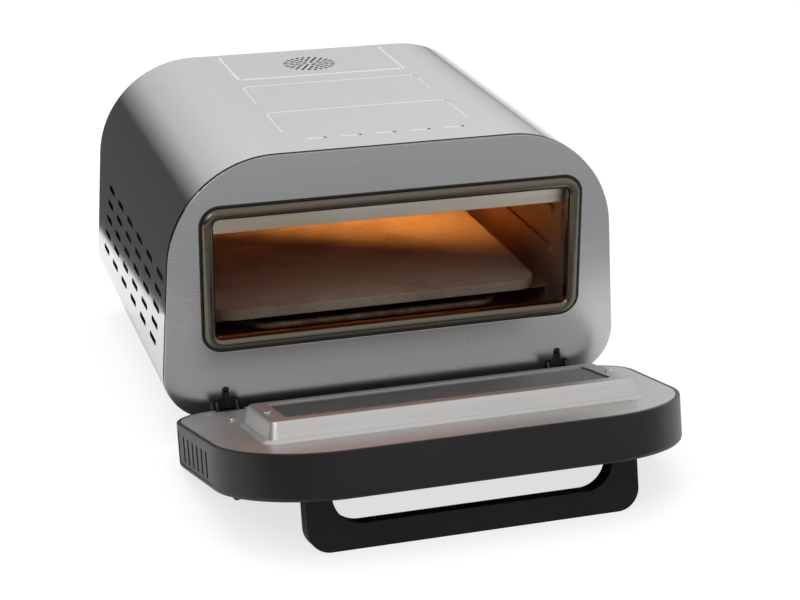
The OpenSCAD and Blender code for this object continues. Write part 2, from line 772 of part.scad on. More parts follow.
module door_inner_panel() door() color("#b9b6b2") difference() {
    union() {
        difference() {
            slab(0, panel_t) arch(panel_inset);
            foot_cut(3);
        }
        frame_form([[-panel_t + 0.01, 0], [frame_h - 3, -frame_draft * 0.75], [frame_h - 0.8, -frame_draft],
            [frame_h, -frame_draft - 2.2]]);
        frame_form([[-0.1, 3.6], [0.8, 1.8], [2.6, -0.2]]);
    }
    frame_form([[-panel_t - over, -panel_t], [frame_h - 3, -frame_draft * 0.75 - panel_t],
        [glass_top, -frame_draft - panel_t - 1]]);
    slab(-frame_h - over, 0) rounded(-rim_x, rim_low, rim_x, rim_high, rim_r);
    both_sides() {
        hinge_notch(0);
        slab(-over, panel_t / 2) translate([186.5, 22.4]) circle(d = 6);
        slab(-over, panel_t + over) translate([147, body_h - 27]) circle(d = 2);
        leaf_screw_places() translate([0, 0, -6]) cylinder(h = 12, d = 3.9);
        frame_screw_places() translate([0, 0, -6]) cylinder(h = 12, d = 3.4);
    }
}

// a screw through each end of the frame's rim
module frame_screw_places() translate([frame_screw_x, -door_gap + frame_h, frame_screw_z])
    rotate([-90, 0, 0]) children();

module panel_screws() door() color("silver") both_sides() {
    leaf_screw_places() screw(shank_l = 6);
    frame_screw_places() screw(6, 1.6, 3, 7);
}

module inner_glass() door() color([0.08, 0.08, 0.09, 0.9]) slab(-glass_top, -glass_top + glass_t)
    rounded(-rim_x - glass_lap, rim_low - glass_lap, rim_x + glass_lap, rim_high + glass_lap, rim_r);

// a bent strip frame that presses the glass against the rim from behind
module glass_retainer() door() color("#8b8882") {
    t = 1.2;
    back = -glass_top + glass_t;
    slab(back, back + t) difference() {
        frame_outline(-frame_draft - 1);
        rounded(-rim_x + 2, rim_low + 2, rim_x - 2, rim_high - 2, rim_r);
        both_sides() translate([frame_screw_x, frame_screw_z]) circle(d = 3.6);
    }
}

module outer_window() door() color([0.06, 0.06, 0.07, 0.95]) slab(door_t - 1.6, door_t - 0.1)
    rounded(-window_x, window_low, window_x, window_high, 12);

// a U-shaped grip that also carries the open door
module handle() door() color("#202020") difference() {
    intersection() {
        translate([0, 0, handle_low]) linear_extrude(handle_bar) difference() {
            handle_plan(0);
            translate([0, over]) handle_plan(1);
        }
        across(0, handle_w + 2) polygon([
            [-door_out, handle_low], [-handle_out(handle_low), handle_low],
            [-handle_out(handle_top), handle_top], [-door_out, handle_top],
        ]);
    }
    both_sides() slab(door_t - over, door_t + 14) handle_screw_spots() circle(d = 3.4);
}

// the handle seen from above: the outer outline, or the finger room inside
module handle_plan(inside) {
    leg = inside * handle_leg;
    far = inside ? handle_in : handle_out(handle_top) + 0.01;
    r = inside ? min(26, handle_in - door_out - 2) : 20;
    x = handle_w / 2 - leg;
    polygon([[-x, -door_out], [-x, -far + r], [-x + r, -far], [x - r, -far], [x, -far + r], [x, -door_out]]);
    for (side = [-1, 1]) translate([side * (x - r), -far + r]) circle(r);
}

module handle_screw_spots() translate([(handle_w - handle_leg) / 2, (handle_low + handle_top) / 2])
    children();

module handle_screws() door() color("silver") both_sides()
    translate([(handle_w - handle_leg) / 2, -door_out + door_wall, (handle_low + handle_top) / 2])
        rotate([-90, 0, 0]) screw(8, 2.5, 3.2, 14);

// ---------------------------------------------------------------- controls

// a switch body on the inside of the door's outer wall, with a bore for the knob's shaft
module control_body() difference() {
    union() {
        slab(door_t - door_wall - control_h, door_t - door_wall) translate([knob_x, knob_z])
            rounded(-control_w / 2, -control_w / 2, control_w / 2, control_w / 2, 4);
        for (z = [-7, 7]) translate([knob_x - 3, -door_out + door_wall + control_h, knob_z + z - 0.4])
            cube([6, 5, 0.8]);
    }
    slab(door_t - door_wall - 14, door_t) translate([knob_x, knob_z]) circle(d = shaft_d + 2 * pin_play);
}

module thermostat() door() color("#d8d2c0") mirror([1, 0, 0]) control_body();

module timer() door() color("#3c3c40") control_body();

// a round knob with a raised grip bar, turned on its own shaft
module knob() translate([knob_x, -door_out - knob_gap, knob_z]) rotate([90, 0, 0]) {
    skirt_h = 4;
    grip_w = 9;
    cylinder(h = skirt_h, d = knob_d);
    difference() {
        intersection() {
            translate([0, 0, skirt_h]) cylinder(h = knob_h - skirt_h, d1 = knob_d - 5, d2 = knob_d - 9);
            translate([-grip_w / 2, -knob_d, 0]) cube([grip_w, 2 * knob_d, knob_h]);
        }
        translate([-0.7, 3, knob_h - 0.8]) cube([1.4, knob_d, 2]);
    }
    translate([0, 0, -knob_gap - door_wall - 12]) cylinder(h = knob_gap + door_wall + 13, d = shaft_d);
}

module temperature_knob() door() color("#1a1a1a") mirror([1, 0, 0]) knob();

module timer_knob() door() color("#1a1a1a") knob();

// ---------------------------------------------------------------- left and right

module hinge_receiver_left() mirror([1, 0, 0]) hinge_receiver();
module hinge_receiver_right() hinge_receiver();
module hinge_pin_left() mirror([1, 0, 0]) hinge_pin();
module hinge_pin_right() hinge_pin();
module hinge_spring_left() mirror([1, 0, 0]) hinge_spring();
module hinge_spring_right() hinge_spring();
module hinge_leaf_left() mirror([1, 0, 0]) hinge_leaf();
module hinge_leaf_right() hinge_leaf();
module vent_cover_left() mirror([1, 0, 0]) vent_cover();
module vent_cover_right() vent_cover();

outer_shell();
front_fascia();
seam_trim();
mouth_gasket();
mouth_ring();
cavity_liner();
liner_rivets();
ceiling_baffle();
upper_element();
lower_element();
element_brackets();
pizza_stone();
stone_carrier();
insulation();
temperature_probe();
terminal_block();
base_plate();
rear_panel();
rear_screws();
cable_gland();
feet();
foot_screws();
hinge_receiver_left();
hinge_receiver_right();
hinge_pin_left();
hinge_pin_right();
hinge_spring_left();
hinge_spring_right();
door_shell();
door_inner_panel();
inner_glass();
glass_retainer();
outer_window();
handle();
handle_screws();
hinge_leaf_left();
hinge_leaf_right();
panel_screws();
vent_cover_left();
vent_cover_right();
thermostat();
timer();
temperature_knob();
timer_knob();
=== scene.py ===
import json
import math

import bmesh
import bpy
from mathutils import Matrix, Vector

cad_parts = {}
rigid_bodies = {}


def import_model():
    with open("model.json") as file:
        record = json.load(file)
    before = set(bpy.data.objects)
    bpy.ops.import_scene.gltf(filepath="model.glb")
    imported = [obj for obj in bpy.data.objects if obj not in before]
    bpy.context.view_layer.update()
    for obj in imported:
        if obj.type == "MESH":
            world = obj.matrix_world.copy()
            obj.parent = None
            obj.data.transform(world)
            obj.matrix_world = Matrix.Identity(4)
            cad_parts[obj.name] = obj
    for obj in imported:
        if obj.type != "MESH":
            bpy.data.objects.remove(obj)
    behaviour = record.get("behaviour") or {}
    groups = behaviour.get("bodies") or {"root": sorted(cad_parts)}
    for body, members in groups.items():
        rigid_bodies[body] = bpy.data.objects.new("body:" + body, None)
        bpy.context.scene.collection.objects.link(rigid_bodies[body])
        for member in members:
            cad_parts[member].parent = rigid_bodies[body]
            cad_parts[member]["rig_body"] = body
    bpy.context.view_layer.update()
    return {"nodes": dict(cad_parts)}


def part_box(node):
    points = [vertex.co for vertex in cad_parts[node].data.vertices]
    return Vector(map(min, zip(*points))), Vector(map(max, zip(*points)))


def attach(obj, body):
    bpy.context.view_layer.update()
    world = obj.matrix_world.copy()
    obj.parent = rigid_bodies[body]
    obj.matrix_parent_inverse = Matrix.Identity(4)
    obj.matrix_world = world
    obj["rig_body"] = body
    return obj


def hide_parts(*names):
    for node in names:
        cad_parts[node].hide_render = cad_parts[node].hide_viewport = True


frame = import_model()
nodes = frame["nodes"]
bodyOf = {name: piece["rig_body"] for name, piece in nodes.items()}
scene = bpy.context.scene
print("frame loaded:", len(nodes), "nodes")

# ---- places taken from the CAD: the casing's own zero, and the door's hinge line
casing = {"y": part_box("front_fascia")[0].y, "z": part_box("outer_shell")[0].z}
door = {"angle": math.radians(76), "pinY": -0.015, "pinZ": 0.004, "gap": 0.0053}


# a point of the closed door (x, depth outwards from the inner panel, height) to where it lies at rest
def doorPoint(x, n, s):
    v = -door["gap"] - n - door["pinY"]
    w = s - door["pinZ"]
    c, k = math.cos(door["angle"]), math.sin(door["angle"])
    return Vector((x, casing["y"] + door["pinY"] + c * v - k * w,
                   casing["z"] + door["pinZ"] + k * v + c * w))


# and back: (x, n, s) of a point of the open door
def onDoor(co):
    y, z = co.y - casing["y"] - door["pinY"], co.z - casing["z"] - door["pinZ"]
    c, k = math.cos(door["angle"]), math.sin(door["angle"])
    return Vector((co.x, -door["gap"] - door["pinY"] - (c * y + k * z), door["pinZ"] - k * y + c * z))


# and (x, depth behind the fascia, height) of a point of the casing
def onCasing(co):
    return Vector((co.x, co.y - casing["y"], co.z - casing["z"]))


# ---- shader maths

class Wire:
    def __init__(self, finish, out):
        self.finish, self.out = finish, out

    def math(self, operation, *others):
        return self.finish.add("ShaderNodeMath", {"operation": operation}, dict(enumerate((self, *others))))

    def __add__(self, other):
        return self.math("ADD", other)

    def __sub__(self, other):
        return self.math("SUBTRACT", other)

    def __rsub__(self, other):
        return self.finish.add("ShaderNodeMath", {"operation": "SUBTRACT"}, {0: other, 1: self})

    def __mul__(self, other):
        return self.math("MULTIPLY", other)

    __radd__ = __add__
    __rmul__ = __mul__


class Finish:
    def __init__(self, tree):
        self.tree = tree
        tree.nodes.clear()

    # the one way a node is made: its type, its settings, then the values or wires of its sockets
    def add(self, kind, settings=None, inputs=None, output=0):
        node = self.tree.nodes.new(kind)
        for key, value in (settings or {}).items():
            if key == "stops":
                ramp = node.color_ramp
                while len(ramp.elements) < len(value):
                    ramp.elements.new(0.5)
                for element, (place, colour) in zip(ramp.elements, value):
                    element.position = place
                    element.color = colour if len(colour) == 4 else (*colour, 1)
            else:
                setattr(node, key, value)
        for key, value in (inputs or {}).items():
            if isinstance(value, Wire):
                self.tree.links.new(value.out, node.inputs[key])
            elif isinstance(value, tuple) and len(value) == 3 and node.inputs[key].type == "RGBA":
                node.inputs[key].default_value = (*value, 1)
            else:
                node.inputs[key].default_value = value
        return Wire(self, node.outputs[output]) if node.outputs else None

    def place(self):
        return self.add("ShaderNodeTexCoord", output="Object")

    def along(self, axis):
        return self.add("ShaderNodeSeparateXYZ", inputs={"Vector": self.place()}, output=axis)

    def stretched(self, scale):
        return self.add("ShaderNodeMapping", inputs={"Vector": self.place(), "Scale": scale})

    def noise(self, scale, detail=3.0, roughness=0.55, stretch=(1, 1, 1)):
        return self.add("ShaderNodeTexNoise", inputs={
            "Vector": self.stretched(stretch), "Scale": scale, "Detail": detail, "Roughness": roughness})

    def limits(self, value, low, high, newLow=0.0, newHigh=1.0):
        return self.add("ShaderNodeMapRange", inputs={
            "Value": value, "From Min": low, "From Max": high, "To Min": newLow, "To Max": newHigh})

    def blend(self, factor, a, b, way="MIX"):
        return self.add("ShaderNodeMix", {"data_type": "RGBA", "blend_type": way},
                        {0: factor, 6: a, 7: b}, output=2)

    def bump(self, height, depth, strength=1.0, normal=None):
        inputs = {"Height": height, "Distance": depth, "Strength": strength}
        if normal:
            inputs["Normal"] = normal
        return self.add("ShaderNodeBump", inputs=inputs)


def material(name, paint):
    made = bpy.data.materials.new(name)
    made.use_nodes = True
    finish = Finish(made.node_tree)
    sockets = paint(finish)
    shader = finish.add("ShaderNodeBsdfPrincipled", inputs=sockets)
    finish.add("ShaderNodeOutputMaterial", inputs={"Surface": shader})
    return made


# ---- finishes

# the casing's top: its grille as (x, depth, radius), and how far the pressed lines and dents reach
shellTop = {"height": 0.25, "lineRound": 0.00028, "grille": (0, 0.308, 0.031), "flatHalf": 0.104,
            "linesHalf": 0.1, "linesLow": 0.0008, "dentsEnd": 0.05,
            "holeGrowth": 0.3, "holesLow": 0.003, "upright": 0.3}
# depths under the top between which the painted highlight on the lines' floors and the painted shade in the
# grille's holes fade
paintedLightDepth = {"highlightStart": (0.00004, 0.00012), "highlightEnd": (0.0007, 0.0009), "holes": (0.0001, 0.0003),
                "fade": 0.001}
# where the front sheet's rounded outer edge is in shadow: outwards of these places, between two depths
edgeShade = {"aside": 0.196, "high": 0.221, "low": 0.024, "fade": 0.001,
             "start": 0.0001, "end": 0.0006, "most": 0.95}


# brushed sheet: faint streaks of tone along one axis, soft smudges, and the finest scratches as bump
def brushed(look):
    def paint(f):
        along = look["along"]
        streaks = f.noise(1.0, 4.0, 0.6, tuple(5 if i == along else look["streak"] for i in range(3)))
        scratches = f.noise(1.0, 2.0, 0.6, tuple(25 if i == along else 900 for i in range(3)))
        clouds = f.noise(7.0, 3.0, 0.5)
        colour = f.blend(f.limits(streaks, 0.3, 0.7), look["dark"], look["light"])
        if "tint" in look:
            colour = f.blend(f.limits(clouds, 0.4, 0.7, 0, look["tintShare"]), colour, look["tint"])
        if "detail" in look:
            colour = look["detail"](f, colour)
        return {
            "Base Color": colour,
            "Metallic": 1.0,
            "Roughness": look["rough"] + (streaks - 0.5) * look["roughPlay"] + (clouds - 0.5) * 0.06,
            "Normal": f.bump(scratches, look["scratch"]),
        }
    return paint


# painted highlight on the floors of the lines pressed into the top, brighter than the sheet, and painted
# shade in the grille's holes
def paintedTopHighlightAndHoleShade(f, colour):
    height = f.along("Z")
    aside = f.along("X").math("ABSOLUTE")
    top = casing["z"] + shellTop["height"]
    fade = paintedLightDepth["fade"]
    near, far = paintedLightDepth["highlightStart"]
    below = f.limits(height, top - far, top - near, 1, 0)
    near, far = paintedLightDepth["highlightEnd"]
    above = f.limits(height, top - far, top - near, 0, 1)
    flat = f.limits(aside, shellTop["flatHalf"], shellTop["flatHalf"] + fade, 1, 0)
    # painted highlight: the lines' floors turned near white
    colour = f.blend(below * above * flat, colour, (0.97, 0.97, 0.98))
    x, y, r = shellTop["grille"]
    away = f.add("ShaderNodeVectorMath", {"operation": "DISTANCE"},
                 {0: f.place(), 1: (x, casing["y"] + y, top)}, output="Value")
    # painted shade: the walls of the grille's holes turned near black
    near, far = paintedLightDepth["holes"]
    holes = f.limits(away, r - fade, r, 1, 0) * f.limits(height, top - far, top - near, 1, 0)
    return f.blend(holes, colour, (0.01, 0.01, 0.01))


# the rounded outer edge of the front sheet lies in the seam's shadow
def shadedEdge(f, colour):
    e = edgeShade
    depth = f.along("Y") - casing["y"]
    aside = f.along("X").math("ABSOLUTE")
    height = f.along("Z") - casing["z"]
    outside = f.limits(aside, e["aside"], e["aside"] + e["fade"])
    outside = outside.math("MAXIMUM", f.limits(height, e["high"], e["high"] + e["fade"]))
    outside = outside.math("MAXIMUM", f.limits(height, e["low"], e["low"] - e["fade"]))
    return f.blend(f.limits(depth, e["start"], e["end"], 0, e["most"]) * outside, colour, (0.02, 0.02, 0.02))


# smooth or grained moulding
def moulded(look):
    def paint(f):
        grain = f.noise(look["grain"], 2.0, 0.6)
        dust = f.noise(14.0, 4.0, 0.6)
        return {
            "Base Color": f.blend(f.limits(dust, 0.35, 0.75), look["dark"], look["light"]),
            "Roughness": look["rough"] + (dust - 0.5) * look["roughPlay"] + (grain - 0.5) * 0.06,
            "Coat Weight": look.get("coat", 0.0),
            "Coat Roughness": 0.2,
            "Specular IOR Level": look.get("shine", 0.5),
            "Normal": f.bump(grain, look["relief"]),
        }
    return paint


# bare metal parts with a little wear: plated screws, pins, springs, tubes
def plated(look):
    def paint(f):
        wear = f.noise(look["wear"], 5.0, 0.65)
        fine = f.noise(900.0, 2.0, 0.6)
        return {
            "Base Color": f.blend(f.limits(wear, 0.4, 0.65), look["dark"], look["light"]),
            "Metallic": look.get("metal", 1.0),
            "Roughness": look["rough"] + (wear - 0.5) * look["roughPlay"],
            "Normal": f.bump(fine, look["relief"]),
        }
    return paint


def stoneLook(f):
    grains = f.add("ShaderNodeTexVoronoi", inputs={"Vector": f.place(), "Scale": 900.0})
    fine = f.noise(420.0, 5.0, 0.7)
    bake = f.noise(11.0, 5.0, 0.6)
    colour = f.blend(f.limits(fine, 0.3, 0.7), (0.22, 0.17, 0.125), (0.33, 0.26, 0.195))
    colour = f.blend(f.limits(bake, 0.48, 0.7, 0, 0.7), colour, (0.085, 0.055, 0.035))
    colour = f.blend(f.limits(grains, 0.0, 0.25, 0.35, 0.0), colour, (0.14, 0.095, 0.06))
    return {"Base Color": colour, "Roughness": 0.86 + (fine - 0.5) * 0.1,
            "Normal": f.bump(fine, 0.0005, normal=f.bump(grains, 0.0004))}


# mineral wool in near-black tones: painted shade, since it is seen only through the casing's slots
def woolInShadeLook(f):
    fibres = f.noise(260.0, 8.0, 0.75, (1, 1, 5))
    lumps = f.noise(60.0, 3.0, 0.6)
    return {"Base Color": f.blend(f.limits(fibres, 0.3, 0.7), (0.035, 0.033, 0.03), (0.1, 0.095, 0.085)),
            "Roughness": 0.95, "Normal": f.bump(fibres, 0.0015, normal=f.bump(lumps, 0.004))}


def glassLook(f):
    smears = f.noise(26.0, 4.0, 0.6, (1, 3, 1))
    specks = f.noise(320.0, 3.0, 0.6)
    return {"Base Color": f.blend(f.limits(smears, 0.4, 0.7), (0.009, 0.009, 0.009), (0.014, 0.0135, 0.013)),
            "Roughness": 0.09 + f.limits(smears, 0.4, 0.75, 0.0, 0.05),
            "Coat Weight": 0.12, "Coat Roughness": 0.05, "Specular IOR Level": 0.35,
            "Normal": f.bump(specks, 0.00003)}


# the oven's lining: aluminised sheet, darker and more orange-brown towards the rear: partly real heat
# browning, partly painted shade and orange glow
def linerLook(f):
    stain = f.noise(13.0, 6.0, 0.65)
    spangle = f.add("ShaderNodeTexVoronoi", inputs={"Vector": f.place(), "Scale": 160.0}, output="Color")
    depth = f.along("Y")
    heatAndGlow = f.limits(depth + (stain - 0.5) * 0.16, -0.04, 0.1)
    colour = f.blend(f.limits(stain, 0.35, 0.7), (0.22, 0.165, 0.12), (0.34, 0.275, 0.21))
    # heat browning mixed with painted shade and orange glow, growing towards the rear
    colour = f.blend(heatAndGlow * 0.75, colour, (0.26, 0.125, 0.05))
    colour = f.blend(0.1, colour, spangle, "SOFT_LIGHT")
    return {"Base Color": colour, "Metallic": 0.75, "Roughness": 0.42 + (stain - 0.5) * 0.2,
            "Normal": f.bump(f.noise(300.0, 3.0, 0.6), 0.00006)}


# heating tube: oxidised, with a painted red glow over all of it, as if hot
def paintedGlowTubeLook(f):
    scale = f.noise(120.0, 5.0, 0.6)
    return {"Base Color": f.blend(f.limits(scale, 0.35, 0.65), (0.10, 0.055, 0.035), (0.25, 0.13, 0.08)),
            # painted glow: the tube emits light though it is no lamp
            "Metallic": 0.4, "Roughness": 0.6, "Emission Strength": 1.2,
            "Emission Color": f.blend(f.limits(scale, 0.3, 0.7), (0.75, 0.16, 0.03), (1.0, 0.32, 0.06)),
            "Normal": f.bump(scale, 0.0002)}


finishes = {
    "shellSteel": brushed({"along": 1, "streak": 200, "dark": (0.655, 0.655, 0.68),
                           "light": (0.68, 0.68, 0.70), "rough": 0.075, "roughPlay": 0.02,
                           "scratch": 0.0000003, "detail": paintedTopHighlightAndHoleShade}),
    "fasciaSteel": brushed({"along": 0, "streak": 240, "dark": (0.52, 0.52, 0.53),
                            "light": (0.535, 0.535, 0.545), "rough": 0.27, "roughPlay": 0.02,
                            "scratch": 0.0000001, "detail": shadedEdge}),
    "panelSteel": brushed({"along": 0, "streak": 300, "dark": (0.56, 0.55, 0.54), "light": (0.61, 0.60, 0.59),
                           "rough": 0.42, "roughPlay": 0.04, "scratch": 0.000001,
                           "tint": (0.50, 0.48, 0.45), "tintShare": 0.25}),
    "ringSteel": brushed({"along": 0, "streak": 180, "dark": (0.12, 0.108, 0.085),
                          "light": (0.15, 0.136, 0.108), "rough": 0.24, "roughPlay": 0.05,
                          "scratch": 0.000001, "tint": (0.14, 0.11, 0.075), "tintShare": 0.6}),
    "baffleSteel": brushed({"along": 0, "streak": 200, "dark": (0.56, 0.51, 0.44),
                            "light": (0.68, 0.63, 0.56), "rough": 0.38, "roughPlay": 0.08,
                            "scratch": 0.000002, "tint": (0.50, 0.37, 0.23), "tintShare": 0.6}),
    "galvanised": plated({"wear": 45.0, "dark": (0.36, 0.365, 0.37), "light": (0.47, 0.475, 0.48),
                          "rough": 0.46, "roughPlay": 0.3, "relief": 0.00003}),
    "brightSteel": plated({"wear": 240.0, "dark": (0.60, 0.60, 0.60), "light": (0.80, 0.80, 0.79),
                           "rough": 0.2, "roughPlay": 0.14, "relief": 0.00001}),
    "probeBrass": plated({"wear": 150.0, "dark": (0.45, 0.30, 0.13), "light": (0.66, 0.48, 0.24),
                          "rough": 0.3, "roughPlay": 0.2, "relief": 0.00001}),
    "darkTube": plated({"wear": 110.0, "dark": (0.12, 0.075, 0.05), "light": (0.26, 0.17, 0.12),
                        "rough": 0.55, "roughPlay": 0.2, "relief": 0.0001, "metal": 0.5}),
    "blackSteel": plated({"wear": 190.0, "dark": (0.014, 0.014, 0.015), "light": (0.035, 0.034, 0.033),
                          "rough": 0.38, "roughPlay": 0.25, "relief": 0.00005, "metal": 0.35}),
    "paintedGlowTube": paintedGlowTubeLook,
    "linerSteel": linerLook,
    "bakingStone": stoneLook,
    "mineralWool": woolInShadeLook,
    "darkGlass": glassLook,
    "doorPlastic": moulded({"grain": 1300.0, "dark": (0.0065, 0.0065, 0.007), "light": (0.010, 0.010, 0.0105),
                            "rough": 0.4, "roughPlay": 0.1, "relief": 0.00002, "shine": 0.35}),
    "handlePlastic": moulded({"grain": 1500.0, "dark": (0.0035, 0.0035, 0.004),
                              "light": (0.006, 0.006, 0.0065), "rough": 0.36, "roughPlay": 0.1,
                              "relief": 0.00001, "shine": 0.25}),
    "knobPlastic": moulded({"grain": 1600.0, "dark": (0.012, 0.012, 0.012), "light": (0.02, 0.02, 0.02),
                            "rough": 0.3, "roughPlay": 0.12, "relief": 0.00002, "coat": 0.3}),
    "palePlastic": moulded({"grain": 900.0, "dark": (0.55, 0.52, 0.43), "light": (0.66, 0.63, 0.54),
                            "rough": 0.4, "roughPlay": 0.15, "relief": 0.00002}),
    "blackSilicone": moulded({"grain": 1100.0, "dark": (0.008, 0.008, 0.008), "light": (0.016, 0.016, 0.016),
                              "rough": 0.6, "roughPlay": 0.15, "relief": 0.00004}),
}
materials = {name: material(name, paint) for name, paint in finishes.items()}

finishOf = {
    "shellSteel": ["outer_shell"],
    "fasciaSteel": ["front_fascia"],
    "panelSteel": ["door_inner_panel"],
    "ringSteel": ["mouth_ring"],
    "baffleSteel": ["ceiling_baffle", "liner_rivets"],
    "linerSteel": ["cavity_liner", "stone_carrier", "element_brackets"],
    "paintedGlowTube": ["upper_element"],
    "darkTube": ["lower_element"],
    "bakingStone": ["pizza_stone"],
    "mineralWool": ["insulation"],
    "galvanised": ["base_plate", "rear_panel", "glass_retainer"],
    "brightSteel": ["rear_screws", "foot_screws", "hinge_pin_left", "hinge_pin_right", "hinge_spring_left",
                    "hinge_spring_right", "handle_screws", "panel_screws"],
    "probeBrass": ["temperature_probe"],
    "blackSteel": ["hinge_receiver_left", "hinge_receiver_right", "hinge_leaf_left", "hinge_leaf_right"],
    "blackSilicone": ["mouth_gasket", "seam_trim", "cable_gland", "feet"],
    "doorPlastic": ["door_shell", "vent_cover_left", "vent_cover_right"],
    "handlePlastic": ["handle"],
    "knobPlastic": ["temperature_knob", "timer_knob"],
    "palePlastic": ["thermostat", "timer", "terminal_block"],
    "darkGlass": ["inner_glass", "outer_window"],
}
materialOf = {node: materials[finish] for finish, members in finishOf.items() for node in members}
for node, piece in nodes.items():
    piece.data.materials.clear()
    piece.data.materials.append(materialOf[node])
print("finishes made:", len(materials))


# ---- making pieces

# distances at which points merge or count as touching a face, and in degrees: the fold that is taken
# for flat, the fold still drawn smooth, and the fold that a bevel picks
making = {"merge": 0.000004, "touch": 0.0001, "flat": 0.5, "smooth": 35, "sharp": 30}


def nothingSelected():
    if bpy.context.object and bpy.context.object.mode != "OBJECT":
        bpy.ops.object.mode_set(mode="OBJECT")
    bpy.ops.object.select_all(action="DESELECT")


def alone(piece):
    nothingSelected()
    piece.select_set(True)
    bpy.context.view_layer.objects.active = piece


# a finished piece takes its node's finish, rides on its node's body, and stands for it
def standIn(piece, node):
    piece.data.materials.clear()
    piece.data.materials.append(materialOf[node])
    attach(piece, bodyOf[node])
    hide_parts(node)
    return piece


# a merged copy of a CAD node whose outside edges are rounded, as the moulded or pressed piece is
def rounded(node, name, cuts, shape=None):
    piece = bpy.data.objects.new(name, nodes[node].data.copy())
    scene.collection.objects.link(piece)
    alone(piece)
    bpy.ops.object.mode_set(mode="EDIT")
    bpy.ops.mesh.customdata_custom_splitnormals_clear()
    bpy.ops.mesh.select_all(action="SELECT")
    bpy.ops.mesh.remove_doubles(threshold=making["merge"])
    bpy.ops.mesh.dissolve_limited(angle_limit=math.radians(making["flat"]))
    if shape:
        shape(piece)
    for cut in cuts:
        bpy.ops.mesh.select_all(action="DESELECT")
        mesh = bmesh.from_edit_mesh(piece.data)
        sharp = math.radians(cut.get("sharp", making["sharp"]))
        for edge in mesh.edges:
            if len(edge.link_faces) == 2 and edge.calc_face_angle(0) > sharp:
                edge.select = cut["pick"](*[v.co for v in edge.verts])
        mesh.select_flush(True)
        bmesh.update_edit_mesh(piece.data)
        bpy.ops.mesh.bevel(offset=cut["width"], segments=cut["steps"], profile=0.5,
                           clamp_overlap=cut.get("clamp", True))
    alone(piece)
    bpy.ops.object.shade_smooth_by_angle(angle=math.radians(making["smooth"]))
    weights = piece.modifiers.new("weights", "WEIGHTED_NORMAL")
    weights.keep_sharp = True
    bpy.ops.object.modifier_apply(modifier="weights")
    nothingSelected()
    return standIn(piece, node)


def everywhere(a, b):
    return True


# ---- casing: edges of the pressed lines and of the front sheet
def pressedLine(a, b):
    x, y, r = shellTop["grille"]
    return all(onCasing(p).z > shellTop["height"] - shellTop["linesLow"]
               and math.dist(onCasing(p)[:2], (x, y)) > r
               and abs(p.x) < shellTop["linesHalf"] and onCasing(p).y > shellTop["dentsEnd"] for p in (a, b))


def fasciaFront(a, b):
    return all(onCasing(p).y < making["touch"] for p in (a, b))


# the front sheet's hole lies close round the rolled ring, with a narrow seal between them
mouth = {"halfWidth": 0.1875, "low": 0.0625, "high": 0.209, "corner": 0.022, "closer": 0.0026, "near": 0.0005}


def closerToRing(piece):
    mesh = bmesh.from_edit_mesh(piece.data)
    middle = (mouth["low"] + mouth["high"]) / 2
    straightX = mouth["halfWidth"] - mouth["corner"]
    straightZ = (mouth["high"] - mouth["low"]) / 2 - mouth["corner"]
    for v in mesh.verts:
        p = onCasing(v.co)
        p.z -= middle
        out = Vector((max(abs(p.x) - straightX, 0), 0, max(abs(p.z) - straightZ, 0)))
        if not abs(out.length - mouth["corner"]) < mouth["near"]:
            continue
        step = out.normalized() * mouth["closer"]
        v.co.x -= math.copysign(step.x, p.x)
        v.co.z -= math.copysign(step.z, p.z)
    bmesh.update_edit_mesh(piece.data)


# below the cut, the baffle reaches the lining's side walls, and above it follows the lining's round corners
baffle = {"cut": 0.190, "half": 0.1735, "near": 0.0005}


def widerBaffle(piece):
    bpy.ops.mesh.select_all(action="SELECT")
    bpy.ops.mesh.bisect(plane_co=(0, 0, casing["z"] + baffle["cut"]), plane_no=(0, 0, 1))
    mesh = bmesh.from_edit_mesh(piece.data)
    for v in mesh.verts:
        if onCasing(v.co).z < baffle["cut"] + baffle["near"]:
            v.co.x = math.copysign(baffle["half"], v.co.x)
    bmesh.update_edit_mesh(piece.data)


# the round grille's holes are punched a little wider than the CAD draws them
def widerHoles(piece):
    x, y, r = shellTop["grille"]
    mesh = bmesh.from_edit_mesh(piece.data)
    mesh.verts.index_update()
    walls = {face for face in mesh.faces if abs(face.normal.z) < shellTop["upright"]
             and onCasing(face.calc_center_median()).z > shellTop["height"] - shellTop["holesLow"]
             and math.dist(onCasing(face.calc_center_median())[:2], (x, y)) < r}
    while walls:
        hole, front = set(), [walls.pop()]
        while front:
            face = front.pop()
            hole.add(face)
            for near in {other for edge in face.edges for other in edge.link_faces} & walls:
                walls.discard(near)
                front.append(near)
        # in a fixed order, since a sum's rounding depends on its order and a set's order changes each run
        points = sorted({v for face in hole for v in face.verts}, key=lambda v: v.index)
        middle = sum((v.co for v in points), Vector()) / len(points)
        for v in points:
            v.co.x += (v.co.x - middle.x) * shellTop["holeGrowth"]
            v.co.y += (v.co.y - middle.y) * shellTop["holeGrowth"]
    bmesh.update_edit_mesh(piece.data)


rounded("outer_shell", "shellSheet",
        [{"pick": pressedLine, "width": shellTop["lineRound"], "steps": 2, "clamp": False}], shape=widerHoles)
rounded("front_fascia", "fasciaSheet",
        [{"pick": fasciaFront, "width": 0.0006, "steps": 3, "clamp": False}], shape=closerToRing)
rounded("mouth_gasket", "mouthSeal", [], shape=closerToRing)
rounded("ceiling_baffle", "baffleSheet",
        [{"pick": everywhere, "width": 0.0003, "steps": 2}], shape=widerBaffle)

# ---- door: the mouldings' eased edges, and the stamped panel drawn smooth
doorMoulding = {"rimRound": 0.0009, "handleRound": 0.0035}


def innerRim(a, b):
    return all(abs(onDoor(p).y) < making["touch"] for p in (a, b))


